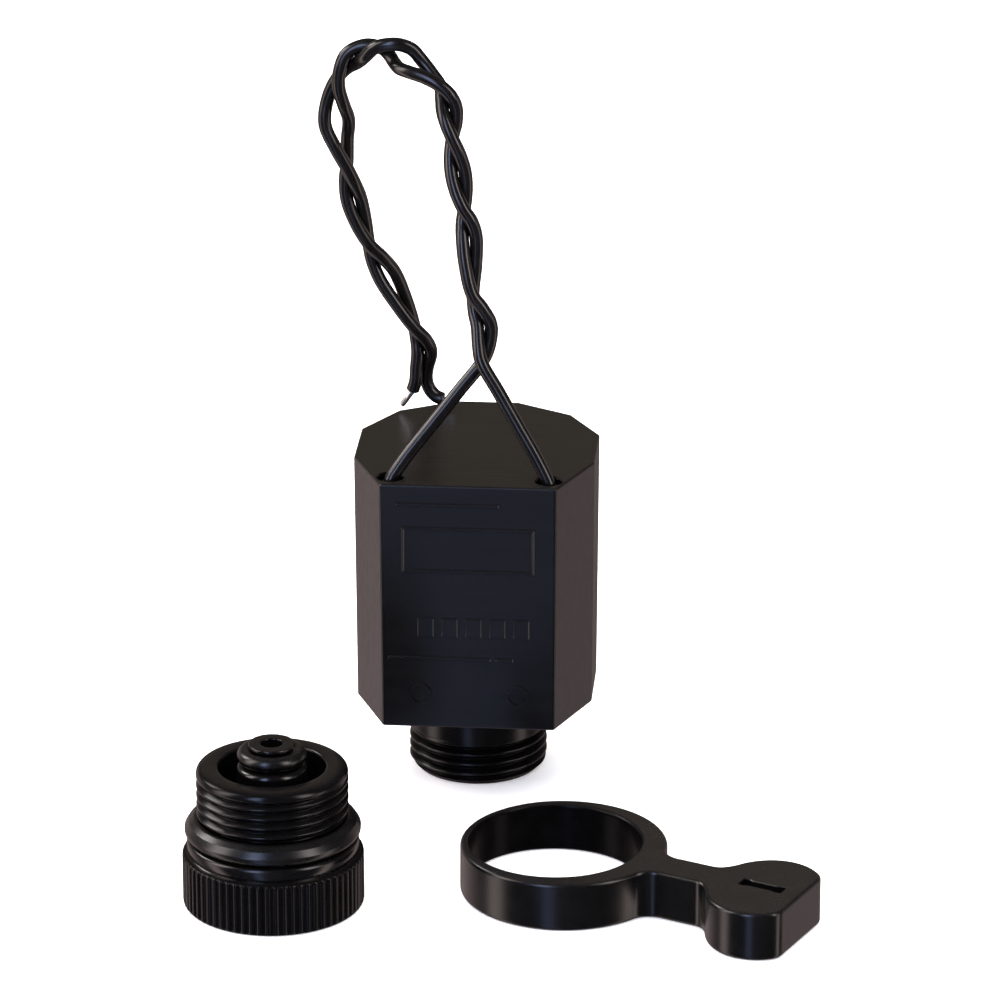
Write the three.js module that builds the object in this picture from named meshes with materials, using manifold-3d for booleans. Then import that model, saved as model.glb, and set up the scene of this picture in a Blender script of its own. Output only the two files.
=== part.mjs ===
// Solenoid valve set: encapsulated solenoid with twisted leads, thread adapter and manual bleed lever.
// Millimetres, +Z up. The solenoid stands on the end of its threaded neck, whose axis is the Z axis.
import * as THREE from 'three'
import { mergeVertices } from 'three/addons/utils/BufferGeometryUtils.js'
import Module from 'manifold-3d'

const wasm = await Module()
wasm.setup()

// ---- shared sizes
const GAP = 0.3 // clearance left between touching pieces
const SEG = 32 // facets round a turned piece
const FINE = 40 // facets round the large visible pieces

// ---- solenoid housing: half a regular dodecagon at the back, one wide flat at the front
const HOUSING_Z0 = 12.5
const HOUSING_Z1 = 49.5
const HOUSING_APOTHEM = 17.2
const FRONT_Y = -18.0
const FRONT_HALF = 12.45
const SIDE_FRONT_Y = -6.8
const HOUSING_WALL = 2.0
const HOUSING_TOP_WALL = 2.4
const HOUSING_EDGE = 0.35 // bevel on the housing's top and bottom edges
const DRAFT = 0.0004 // how much the outline narrows per mm below the top
const PANEL_RIB = { height: 0.25, width: 0.5 } // thin raised lines on the front flat
const PANEL_LINES = [[-10.2, 4.4, 46.6], [-11.4, 6.4, 23.2]] // x from, x to, z
const PANEL_RIB_ROOT = 1.0 // how far the lines' roots reach into the wall
const INSET_FRONT_SHARE = 0.65 // how much of an inset the front flat's half width loses
const INSET_BEND_SHARE = 0.15 // how much of an inset the side bend moves back
const BASE_PLATE = { z0: 12.9, z1: 14.2, gap: 0.3 }

// ---- threaded neck and coil former
const NECK_R = 10.0
const NECK_PITCH = 1.5
const NECK_THREAD_DEPTH = 0.75
const NECK_CHAMFER = 1.1
const NECK_THREAD_START = 1.1
const NECK_THREAD_TOP = 5.6
const NECK_TIP = [9.85, 0.6] // where the end chamfer meets the first flank
const NECK_RUNOUT = { root: 0.3, full: 0.8 } // heights above the thread
const NECK_BORE_R = 7.6
const NECK_BORE_TOP = 11.4
const NECK_ROOT_R = 9.6
const FORMER_FLANGE_R = 12.6
const FORMER_LOW = [16.2, 17.6]
const FORMER_HIGH = [41.3, 42.9]
const FORMER_TUBE_R = [5.6, 6.7]
const PIN_AT = [[-7.0, -9.2], [7.0, -9.2]]
const PIN = { r: 0.6, hole: 41.9, z0: 42.2, shoulder: 46.0, z1: 46.4 }

// ---- coil and magnetic circuit
const COIL_R = [7.0, 11.8]
const TAPE_R = [12.1, 12.4]
const YOKE_T = 1.2
const YOKE_HALF_X = 14.3
const YOKE_HALF_Y = 5.0
const YOKE_BOTTOM_Z = 14.5
const YOKE_DISC_R = 12.6
const YOKE_TOP_Z = 43.2
const YOKE_NECK_HOLE_R = 10.3
const CORE_R = 4.2
const CORE_Z0 = 26.8
const CORE_STUD_R = 3.0
const CORE_STUD_TOP = 45.9
const CORE_CHAMFER = 0.2
const CORE_WASHER = { r: 5.2, z0: 44.9, z1: 45.7 }
const SHADING_R = [2.5, 3.2]
const SHADING_DEPTH = 1.3
const TUBE_R = [4.55, 5.2]
const TUBE_Z = [10.2, 37.0]
const TUBE_FLANGE = { r: 7.2, t: 0.7 }

// ---- plunger group
const PLUNGER_R = 4.2
const PLUNGER_Z = [2.0, 24.3]
const COLLAR = { r: 6.4, z0: 2.6, z1: 3.7 }
const PLUNGER_CHAMFER = { low: 0.3, high: 0.5 }
const SEAL = { r: 2.9, z0: 1.5, z1: 4.0 }
const RETAINER = { ri: 4.6, ro: 7.3, z0: 1.1, z1: 2.3 }
const SPRING = { r: 5.6, wire: 0.35, z0: 4.4, z1: 9.5, turns: 3.5, steps: 42 }

// ---- leads
const LEAD_R = 0.97
const LEAD_SIDES = 8
const LEAD_STEPS = 70
const EXIT_X = 11.2
const EXIT_Y = -14.8
const EXIT_R = 1.9
const EXIT_HOLE_BELOW = 1.5 // how far the exit holes start below the cavity's top
const GLAND_BELOW = 1.0
const GLAND_TOP = 48.2
const LEAD_START = 48.5
const LEAD_STRAIGHT = 0.4
const LEG_FOOT = 1.0 // height over the lead's start of the leg's aiming point
const LEG_STOPS = [0.16, 0.45, 0.75] // shares of the leg between its foot and the pair
const TIP_R = 0.45
// centre-line of the twisted pair, and the points of it where one lead lies in front of the other
const LEAD_PATH = [
  [1.3, -9.0, 65.0], [1.5, -7.5, 69.8], [-0.2, -6.5, 74.2], [-0.8, -5.0, 82.1], [-1.6, -4.0, 85.9],
  [-2.5, -3.0, 90.9], [-3.4, -2.0, 95.8], [-3.9, -1.0, 99.6], [-5.3, 0.0, 102.6], [-8.9, 1.5, 105.0],
  [-11.5, 2.5, 106.4], [-14.2, 3.5, 106.9], [-18.1, 5.0, 104.9], [-20.4, 6.0, 100.6],
  [-20.6, 7.0, 94.8], [-19.3, 8.0, 88.1], [-18.5, 9.0, 82.8], [-16.5, 10.0, 76.0], [-14.0, 11.0, 70.7],
  [-10.2, 12.0, 62.7], [-8.8, 12.5, 58.6], [-9.8, 13.0, 53.6],
]
const CROSSINGS = [0, 2, 4, 6, 8, 11, 12.6, 15, 17, 19, 21]
// how far the leads lie from the centre-line, at points along it
const TWIST_RADII = [
  [0, 1.05], [8, 1.05], [9.6, 1.6], [11, 1.06], [13, 1.06], [14.1, 1.75], [15, 1.06], [17, 1.05], [18, 1.25],
  [19, 1.05], [21, 1.05],
]
const LOOK_ALONG = new THREE.Vector3(0, 0.93, -0.36) // the direction that crossings are counted along
const LEAD_ENDS = [
  {
    through: [[-8.62, 13.75, 54.0], [-8.2, 13.88, 52.45], [-7.3, 13.8, 51.4], [-6.2, 13.6, 50.95]],
    tip: [-4.5, 13.15, 50.6],
  },
  { through: [[-10.05, 12.0, 54.3], [-10.5, 12.05, 52.7]], tip: [-12.1, 12.6, 50.3] },
]

// ---- thread adapter
const ADAPTER_AT = [-24.4, -50.3]
const BASE_R = 12.55
const BASE_H = 7.5
const ADAPTER_SEG = 40
const SHOULDER_R = 11.9
const SHOULDER_TOP = 9.7
const FLANGE_GROOVE = { r: 10.2, top: 13.1 }
const FLANGE_SEAL = [
  [10.2, 10.0], [11.5, 10.0], [12.15, 10.6], [12.2, 11.3], [11.6, 12.2], [10.8, 12.8], [10.2, 12.8],
]
const ADAPTER_THREAD_R = 10.45
const ADAPTER_PITCH = 1.4
const ADAPTER_THREAD_DEPTH = 0.6
const ADAPTER_THREAD_TOP = 18.7
const ADAPTER_RIM_Z = 20.2
const ADAPTER_EDGE = 0.4 // chamfer on the grip's and the shoulder's edges
const RIM_OUTSIDE = [[10.45, 19.3], [10.1, 19.95], [9.6, 20.2]]
const RIM_EDGE = 0.3
const WELL_R = 7.4
const WELL_FLOOR = 13.6
const NOZZLE_R = 3.2
const NOZZLE_TOP = 23.5
const BOSS_R = 4.9
const BOSS_TOP = 20.4
const BOSS_EDGE = 0.8
const NOZZLE_GROOVE = { r: 2.5, z0: 20.6, z1: 22.9, slope: 0.15 }
const NOZZLE_EDGE = 0.3
const NOZZLE_ORING = { r: 3.75, section: 1.05, z: 21.75 }
const SOCKET_R = 9.3
const SOCKET_DEPTH = 9.2
const SOCKET_MOUTH_R = 10.1
const SOCKET_MOUTH_H = 0.9
const BORE_R = 1.5
const SEAT = { r: 2.2, bore: 0.8, z0: 8.5, z1: 12.6, lip: 0.4, cone: 0.5 }
const PORT = { r: 0.9, at: 6.1, count: 4 }
const GASKET = { ri: 7.6, ro: 9.0, z0: 7.9, z1: 8.9 }

// ---- bleed lever, in its own frame: ring centre at the origin, handle along +X
const LEVER_AT = [15.4, -43.6]
const LEVER_ANGLE = -24 * (Math.PI / 180)
const LEVER_H = 7.0
const RING_R = 14.4
const RING_HOLE_R = 12.0
const RING_HOLE_SHIFT = -1.4
const HANDLE_HALF = 2.9
const HANDLE_FILLET = 3.0
const PADDLE_X = 31.0
const PADDLE_R = [7.8, 9.4]
const PADDLE_FLAT = 36.5
const PADDLE_FLAT_HALF = 5.6
const PADDLE_CORNER = 0.7 // length of the paddle's rounded corners along the handle
const PADDLE_JOIN_SINE = 0.52 // sine of the angle where the handle's flare meets the paddle
const PADDLE_FLARE = { reach: 1.06, before: 1.0, after: 0.4 }
const PADDLE_CORNER_PULL = 0.8
const LEVER_EDGE = 0.4
const LEVER_MARK = { x0: 27.4, x1: 33.8, half: 0.9, depth: 1.0 }

// ---- looks
const LOOKS = {
  housing_plastic: [0x17181b, 0.55, 0],
  black_plastic: [0x141416, 0.45, 0],
  rubber: [0x0e0e0f, 0.8, 0],
  lead_pvc: [0x0f0f11, 0.35, 0],
  copper: [0xb5683a, 0.35, 1],
  tinned: [0xc9ccd0, 0.3, 1],
  steel: [0xa9adb3, 0.35, 1],
  zinc_plate: [0x9aa0a6, 0.45, 1],
  tape: [0xc8a94a, 0.6, 0],
  former: [0x2b2d31, 0.5, 0],
}
const root = new THREE.Group()
root.name = 'solenoid_valve'

// ---- helpers
function clean(geometry) {
  const g = geometry.clone()
  g.deleteAttribute('normal')
  g.deleteAttribute('uv')
  return mergeVertices(g.index ? g.toNonIndexed() : g, 1e-4)
}

function signedVolume(geometry) {
  const p = geometry.attributes.position
  const a = new THREE.Vector3()
  const b = new THREE.Vector3()
  const c = new THREE.Vector3()
  let sum = 0
  for (let i = 0; i < geometry.index.count; i += 3) {
    a.fromBufferAttribute(p, geometry.index.getX(i))
    b.fromBufferAttribute(p, geometry.index.getX(i + 1))
    c.fromBufferAttribute(p, geometry.index.getX(i + 2))
    sum += a.dot(b.cross(c))
  }
  return sum
}

function outward(geometry) {
  const g = clean(geometry)
  if (signedVolume(g) < 0) {
    const index = Array.from(g.index.array)
    for (let i = 0; i < index.length; i += 3) {
      const swap = index[i + 1]
      index[i + 1] = index[i + 2]
      index[i + 2] = swap
    }
    g.setIndex(index)
  }
  return g
}

function toSolid(geometry) {
  const g = outward(geometry)
  const mesh = new wasm.Mesh({
    numProp: 3,
    vertProperties: new Float32Array(g.attributes.position.array),
    triVerts: new Uint32Array(g.index.array),
  })
  mesh.merge()
  return new wasm.Manifold(mesh)
}

function toGeometry(solid) {
  const mesh = solid.getMesh()
  const g = new THREE.BufferGeometry()
  g.setAttribute('position', new THREE.BufferAttribute(new Float32Array(mesh.vertProperties), 3))
  g.setIndex(Array.from(mesh.triVerts))
  return g
}

function cut(body, ...tools) {
  let solid = toSolid(body)
  for (const tool of tools) solid = solid.subtract(toSolid(tool))
  return toGeometry(solid)
}

function join(...pieces) {
  return toGeometry(pieces.map(toSolid).reduce((a, b) => a.add(b)))
}

function turned(profile, segments = SEG) {
  const closed = profile[0][0] < 1e-9 ? profile : [...profile, profile[0]]
  const points = closed.map(([r, z]) => new THREE.Vector2(r, z))
  return new THREE.LatheGeometry(points, segments).rotateX(Math.PI / 2)
}

function sleeve(ri, ro, z0, z1, segments = SEG) {
  return turned([[ri, z0], [ro, z0], [ro, z1], [ri, z1]], segments)
}

function rod(r, z0, z1, segments = SEG) {
  return turned([[0, z0], [r, z0], [r, z1], [0, z1]], segments)
}

function box(x0, x1, y0, y1, z0, z1) {
  const g = new THREE.BoxGeometry(x1 - x0, y1 - y0, z1 - z0)
  return g.translate((x0 + x1) / 2, (y0 + y1) / 2, (z0 + z1) / 2)
}

function oring({ r, section, z }) {
  return new THREE.TorusGeometry(r, section, 8, SEG).translate(0, 0, z)
}

function prism(shape, z0, z1, edge = 0, curveSegments = 12) {
  const options = { depth: z1 - z0 - 2 * edge, curveSegments, bevelEnabled: edge > 0 }
  Object.assign(options, { bevelSize: edge, bevelThickness: edge, bevelOffset: -edge, bevelSegments: 1 })
  return new THREE.ExtrudeGeometry(shape, options).translate(0, 0, z0 + edge)
}

function polygon(points) {
  return new THREE.Shape(points.map(([x, y]) => new THREE.Vector2(x, y)))
}

// outside profile of a thread drawn as plain ridges, from z0 up to z1
function ridges(major, depth, pitch, z0, z1) {
  const out = []
  const count = Math.round((z1 - z0) / pitch)
  for (let i = 0; i < count; i++) {
    const z = z0 + i * pitch
    out.push([major - depth, z], [major, z + pitch / 2])
  }
  out.push([major - depth, z0 + count * pitch])
  return out
}

function tube(curve, radius, sides, steps) {
  const section = new THREE.Shape()
  section.absarc(0, 0, radius, 0, Math.PI * 2, false)
  const options = { steps, bevelEnabled: false, extrudePath: curve, curveSegments: sides }
  return new THREE.ExtrudeGeometry(section, options)
}

function addNode(name, geometry, look) {
  const [color, roughness, metalness] = LOOKS[look]
  const material = new THREE.MeshStandardMaterial({ color, roughness, metalness })
  material.name = look
  const g = outward(geometry)
  g.computeVertexNormals()
  const mesh = new THREE.Mesh(g, material)
  mesh.name = name
  root.add(mesh)
}

// ---- housing and base plate
function housingOutline(inset) {
  const scale = (HOUSING_APOTHEM - inset) / HOUSING_APOTHEM
  const at = (degrees) => {
    const r = (HOUSING_APOTHEM / Math.cos(Math.PI / 12)) * scale
    const a = (degrees * Math.PI) / 180
    return [r * Math.cos(a), r * Math.sin(a)]
  }
  const side = HOUSING_APOTHEM - inset
  const half = FRONT_HALF - inset * INSET_FRONT_SHARE
  const front = FRONT_Y + inset
  const bend = SIDE_FRONT_Y + inset * INSET_BEND_SHARE
  const back = [15, 45, 75, 105, 135, 165].map(at)
  return [[half, front], [side, bend], ...back, [-side, bend], [-half, front]]
}

function withDraft(geometry) {
  const p = geometry.attributes.position
  for (let i = 0; i < p.count; i++) {
    const s = 1 - DRAFT * (HOUSING_Z1 - p.getZ(i))
    p.setX(i, p.getX(i) * s)
    p.setY(i, p.getY(i) * s)
  }
  return geometry
}

const exits = [[-EXIT_X, EXIT_Y], [EXIT_X, EXIT_Y]]
const cavityTop = HOUSING_Z1 - HOUSING_TOP_WALL
const housingBlock = withDraft(prism(polygon(housingOutline(0)), HOUSING_Z0, HOUSING_Z1, HOUSING_EDGE))
const panelRibs = PANEL_LINES.map(([x0, x1, z]) => {
  const w = PANEL_RIB.width / 2
  const face = FRONT_Y * (1 - DRAFT * (HOUSING_Z1 - z))
  return box(x0, x1, face - PANEL_RIB.height, face + PANEL_RIB_ROOT, z - w, z + w)
})
const housingSolid = join(housingBlock, ...panelRibs)
const cavity = prism(polygon(housingOutline(HOUSING_WALL)), HOUSING_Z0 - 1, cavityTop)
const leadHoles = exits.map(([x, y]) => {
  return rod(EXIT_R, cavityTop - EXIT_HOLE_BELOW, HOUSING_Z1 + 1, 24).translate(x, y, 0)
})
addNode('housing', cut(housingSolid, cavity, ...leadHoles), 'housing_plastic')

const plateOutline = polygon(housingOutline(HOUSING_WALL + BASE_PLATE.gap))
const plate = prism(plateOutline, BASE_PLATE.z0, BASE_PLATE.z1)
const neckClear = rod(NECK_R + GAP, BASE_PLATE.z0 - 1, BASE_PLATE.z1 + 1, FINE)
addNode('base_plate', cut(plate, neckClear), 'housing_plastic')

// ---- coil former with its threaded neck
const formerProfile = [
  [NECK_BORE_R, 0],
  [NECK_R - NECK_CHAMFER, 0],
  NECK_TIP,
  ...ridges(NECK_R, NECK_THREAD_DEPTH, NECK_PITCH, NECK_THREAD_START, NECK_THREAD_TOP),
  [NECK_ROOT_R, NECK_THREAD_TOP + NECK_RUNOUT.root],
  [NECK_R, NECK_THREAD_TOP + NECK_RUNOUT.full],
  [NECK_R, FORMER_LOW[0]],
  [FORMER_FLANGE_R, FORMER_LOW[0]],
  [FORMER_FLANGE_R, FORMER_LOW[1]],
  [FORMER_TUBE_R[1], FORMER_LOW[1]],
  [FORMER_TUBE_R[1], FORMER_HIGH[0]],
  [FORMER_FLANGE_R, FORMER_HIGH[0]],
  [FORMER_FLANGE_R, FORMER_HIGH[1]],
  [FORMER_TUBE_R[0], FORMER_HIGH[1]],
  [FORMER_TUBE_R[0], NECK_BORE_TOP],
  [NECK_BORE_R, NECK_BORE_TOP],
]
const pinHoles = PIN_AT.map(([x, y]) => {
  return rod(PIN.r + GAP, PIN.hole, FORMER_HIGH[1] + 1, 16).translate(x, y, 0)
})
addNode('coil_former', cut(turned(formerProfile, FINE), ...pinHoles), 'former')

// ---- coil, tape and terminals
const coilZ = [FORMER_LOW[1] + GAP, FORMER_HIGH[0] - GAP]
addNode('coil_winding', sleeve(COIL_R[0], COIL_R[1], ...coilZ), 'copper')
addNode('coil_tape', sleeve(TAPE_R[0], TAPE_R[1], ...coilZ), 'tape')
const sides = ['left', 'right']
const pinProfile = [[0, PIN.z0], [PIN.r, PIN.z0], [PIN.r, PIN.shoulder], [PIN.r / 2, PIN.z1], [0, PIN.z1]]
PIN_AT.forEach(([x, y], i) => {
  addNode(`terminal_pin_${sides[i]}`, turned(pinProfile, 16).translate(x, y, 0), 'tinned')
})

// ---- magnetic circuit
const yokeDisc = rod(YOKE_DISC_R, YOKE_BOTTOM_Z, YOKE_BOTTOM_Z + YOKE_T, FINE)
const yokeArms = box(
  -YOKE_HALF_X, YOKE_HALF_X, -YOKE_HALF_Y, YOKE_HALF_Y, YOKE_BOTTOM_Z, YOKE_BOTTOM_Z + YOKE_T
)
const legs = [-1, 1].map((s) => {
  const x = s * (YOKE_HALF_X - YOKE_T / 2)
  return box(
    x - YOKE_T / 2, x + YOKE_T / 2, -YOKE_HALF_Y, YOKE_HALF_Y, YOKE_BOTTOM_Z, YOKE_TOP_Z - GAP
  )
})
const yokeHole = rod(YOKE_NECK_HOLE_R, YOKE_BOTTOM_Z - 1, YOKE_BOTTOM_Z + 3, FINE)
addNode('yoke_bracket', cut(join(yokeDisc, yokeArms, ...legs), yokeHole), 'zinc_plate')
const yokeTop = box(
  -YOKE_HALF_X, YOKE_HALF_X, -YOKE_HALF_Y, YOKE_HALF_Y, YOKE_TOP_Z, YOKE_TOP_Z + YOKE_T
)
const studHole = rod(CORE_STUD_R + GAP, YOKE_TOP_Z - 1, YOKE_TOP_Z + 3)
addNode('yoke_plate', cut(yokeTop, studHole), 'zinc_plate')

const shadeIn = SHADING_R[0] - GAP
const shadeOut = SHADING_R[1] + GAP
const shadeTop = CORE_Z0 + SHADING_DEPTH + GAP
const coreProfile = [
  [0, CORE_Z0], [shadeIn, CORE_Z0], [shadeIn, shadeTop], [shadeOut, shadeTop], [shadeOut, CORE_Z0],
  [CORE_R - CORE_CHAMFER, CORE_Z0], [CORE_R, CORE_Z0 + CORE_CHAMFER], [CORE_R, YOKE_TOP_Z - GAP],
  [CORE_STUD_R, YOKE_TOP_Z - GAP], [CORE_STUD_R, CORE_STUD_TOP], [0, CORE_STUD_TOP],
]
addNode('fixed_core', turned(coreProfile), 'steel')
addNode('shading_ring', sleeve(SHADING_R[0], SHADING_R[1], CORE_Z0, CORE_Z0 + SHADING_DEPTH), 'copper')
const washer = sleeve(CORE_STUD_R + GAP, CORE_WASHER.r, CORE_WASHER.z0, CORE_WASHER.z1)
addNode('core_washer', washer, 'zinc_plate')

const flangeTop = TUBE_Z[0] + TUBE_FLANGE.t
const tubeProfile = [
  [TUBE_R[0], TUBE_Z[0]], [TUBE_FLANGE.r, TUBE_Z[0]], [TUBE_FLANGE.r, flangeTop],
  [TUBE_R[1], flangeTop], [TUBE_R[1], TUBE_Z[1]], [TUBE_R[0], TUBE_Z[1]],
]
addNode('guide_tube', turned(tubeProfile), 'steel')

// ---- plunger group, drawn at rest: spring pushed, collar above the retainer
const pocketTop = SEAL.z1 + GAP
const plungerProfile = [
  [SEAL.r + GAP, PLUNGER_Z[0]], [PLUNGER_R - PLUNGER_CHAMFER.low, PLUNGER_Z[0]],
  [PLUNGER_R, PLUNGER_Z[0] + PLUNGER_CHAMFER.low],
  [PLUNGER_R, COLLAR.z0], [COLLAR.r, COLLAR.z0], [COLLAR.r, COLLAR.z1], [PLUNGER_R, COLLAR.z1],
  [PLUNGER_R, PLUNGER_Z[1] - PLUNGER_CHAMFER.high],
  [PLUNGER_R - PLUNGER_CHAMFER.high, PLUNGER_Z[1]], [0, PLUNGER_Z[1]],
]
const plungerBody = turned([[0, pocketTop], [SEAL.r + GAP, pocketTop], ...plungerProfile])
addNode('plunger', plungerBody, 'steel')
addNode('plunger_seal', rod(SEAL.r, SEAL.z0, SEAL.z1), 'rubber')
addNode('plunger_retainer', sleeve(RETAINER.ri, RETAINER.ro, RETAINER.z0, RETAINER.z1), 'black_plastic')

class Coil extends THREE.Curve {
  getPoint(t, target = new THREE.Vector3()) {
    const a = t * SPRING.turns * Math.PI * 2
    const low = SPRING.z0
    return target.set(
      SPRING.r * Math.cos(a), SPRING.r * Math.sin(a), low + t * (SPRING.z1 - low)
    )
  }
}
addNode('return_spring', tube(new Coil(), SPRING.wire, 3, SPRING.steps), 'steel')

// ---- leads: two strands wound round one centre-line
function catmull(points, u) {
  const last = points.length - 1
  const i = Math.min(Math.floor(u), last - 1)
  const t = u - i
  const p = [i - 1, i, i + 1, i + 2].map((k) => points[Math.max(0, Math.min(last, k))])
  return [0, 1, 2].map((c) => {
    const [a, b, d, e] = p.map((q) => q[c])
    const linear = (d - a) * t
    const square = (2 * a - 5 * b + 4 * d - e) * t * t
    const cube = (3 * b - a - 3 * d + e) * t * t * t
    return 0.5 * (2 * b + linear + square + cube)
  })
}

function twistPhase(u) {
  for (let k = 0; k < CROSSINGS.length - 1; k++) {
    const from = CROSSINGS[k]
    const to = CROSSINGS[k + 1]
    if (u <= to) return Math.PI * (k + (u - from) / (to - from))
  }
  return Math.PI * (CROSSINGS.length - 1)
}

function twistRadius(u) {
  for (let k = 0; k < TWIST_RADII.length - 1; k++) {
    const [from, low] = TWIST_RADII[k]
    const [to, high] = TWIST_RADII[k + 1]
    if (u <= to) return low + ((high - low) * (1 - Math.cos((Math.PI * (u - from)) / (to - from)))) / 2
  }
  return TWIST_RADII.at(-1)[1]
}

function strandPoint(u, sign) {
  const e = 0.01
  const last = LEAD_PATH.length - 1
  const at = new THREE.Vector3(...catmull(LEAD_PATH, u))
  const ahead = new THREE.Vector3(...catmull(LEAD_PATH, Math.min(last, u + e)))
  const behind = new THREE.Vector3(...catmull(LEAD_PATH, Math.max(0, u - e)))
  const tangent = ahead.sub(behind).normalize()
  const back = LOOK_ALONG.clone().addScaledVector(tangent, -LOOK_ALONG.dot(tangent)).normalize()
  const side = new THREE.Vector3().crossVectors(back, tangent)
  const phase = twistPhase(u)
  const reach = sign * twistRadius(u)
  at.addScaledVector(back, reach * Math.cos(phase))
  return at.addScaledVector(side, reach * Math.sin(phase))
}

function strandPath(x, y, sign, through) {
  const start = new THREE.Vector3(x, y, LEAD_START)
  const foot = new THREE.Vector3(x, y, LEAD_START + LEG_FOOT)
  const points = [start, new THREE.Vector3(x, y, LEAD_START + LEAD_STRAIGHT)]
  const apex = strandPoint(0, sign)
  for (const t of LEG_STOPS) points.push(foot.clone().lerp(apex, t))
  const last = LEAD_PATH.length - 1
  for (let u = 0; u < last; u += 0.5) points.push(strandPoint(u, sign))
  return [...points, ...through.map((p) => new THREE.Vector3(...p))]
}

exits.forEach(([x, y], i) => {
  const { through, tip } = LEAD_ENDS[i]
  const points = strandPath(x, y, i === 0 ? 1 : -1, through)
  const curve = new THREE.CatmullRomCurve3(points, false, 'centripetal')
  curve.arcLengthDivisions = 800
  addNode(`lead_wire_${sides[i]}`, tube(curve, LEAD_R, LEAD_SIDES / 2, LEAD_STEPS), 'lead_pvc')
  const finish = new THREE.Vector3(...tip)
  const along = finish.clone().sub(points.at(-1)).normalize()
  const start = points.at(-1).clone().addScaledVector(along, GAP)
  addNode(`lead_tip_${sides[i]}`, tube(new THREE.LineCurve3(start, finish), TIP_R, 4, 2), 'tinned')
  const gland = rod(EXIT_R - GAP, cavityTop - GLAND_BELOW, GLAND_TOP, 20)
  addNode(`lead_gland_${sides[i]}`, gland.translate(x, y, 0), 'rubber')
})

// ---- thread adapter
const adapterOuter = [
  [SOCKET_MOUTH_R, 0],
  [BASE_R - ADAPTER_EDGE, 0],
  [BASE_R, ADAPTER_EDGE],
  [BASE_R, BASE_H - ADAPTER_EDGE],
  [BASE_R - ADAPTER_EDGE, BASE_H],
  [SHOULDER_R, BASE_H],
  [SHOULDER_R, SHOULDER_TOP - ADAPTER_EDGE],
  [SHOULDER_R - ADAPTER_EDGE, SHOULDER_TOP],
  [FLANGE_GROOVE.r - GAP, SHOULDER_TOP],
  [FLANGE_GROOVE.r - GAP, FLANGE_GROOVE.top],
  ...ridges(
    ADAPTER_THREAD_R, ADAPTER_THREAD_DEPTH, ADAPTER_PITCH, FLANGE_GROOVE.top, ADAPTER_THREAD_TOP
  ),
  ...RIM_OUTSIDE,
]
const adapterTop = [
  [WELL_R + RIM_EDGE, ADAPTER_RIM_Z],
  [WELL_R, ADAPTER_RIM_Z - RIM_EDGE],
  [WELL_R, WELL_FLOOR],
  [BOSS_R, WELL_FLOOR],
  [BOSS_R, BOSS_TOP - BOSS_EDGE],
  [BOSS_R - BOSS_EDGE, BOSS_TOP],
  [NOZZLE_GROOVE.r, NOZZLE_GROOVE.z0],
  [NOZZLE_GROOVE.r, NOZZLE_GROOVE.z1],
  [NOZZLE_R, NOZZLE_GROOVE.z1 + NOZZLE_GROOVE.slope],
  [NOZZLE_R, NOZZLE_TOP - NOZZLE_EDGE],
  [NOZZLE_R - NOZZLE_EDGE, NOZZLE_TOP],
]
const adapterInner = [
  [BORE_R, NOZZLE_TOP],
  [BORE_R, SEAT.z1 + GAP],
  [SEAT.r + GAP, SEAT.z1 + GAP],
  [SEAT.r + GAP, SOCKET_DEPTH],
  [SOCKET_R, SOCKET_DEPTH],
  [SOCKET_R, SOCKET_MOUTH_H],
]
const adapterTurned = turned([...adapterOuter, ...adapterTop, ...adapterInner], ADAPTER_SEG)
const ports = Array.from({ length: PORT.count }, (_, i) => {
  const a = ((i + 0.5) * 2 * Math.PI) / PORT.count
  const port = rod(PORT.r, SOCKET_DEPTH - 1, WELL_FLOOR + 1, 12)
  return port.translate(PORT.at * Math.cos(a), PORT.at * Math.sin(a), 0)
})
const place = (g) => g.translate(ADAPTER_AT[0], ADAPTER_AT[1], 0)
addNode('adapter_body', place(cut(adapterTurned, ...ports)), 'black_plastic')
addNode('adapter_flange_oring', place(turned(FLANGE_SEAL, ADAPTER_SEG)), 'rubber')
addNode('adapter_nozzle_oring', place(oring(NOZZLE_ORING)), 'rubber')
addNode('adapter_gasket', place(sleeve(GASKET.ri, GASKET.ro, GASKET.z0, GASKET.z1)), 'rubber')
const seatProfile = [
  [SEAT.bore, SEAT.z0], [SEAT.bore + SEAT.lip, SEAT.z0], [SEAT.r, SEAT.z0 + SEAT.cone], [SEAT.r, SEAT.z1],
  [SEAT.bore, SEAT.z1],
]
addNode('adapter_seat', place(turned(seatProfile, 24)), 'steel')

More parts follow.
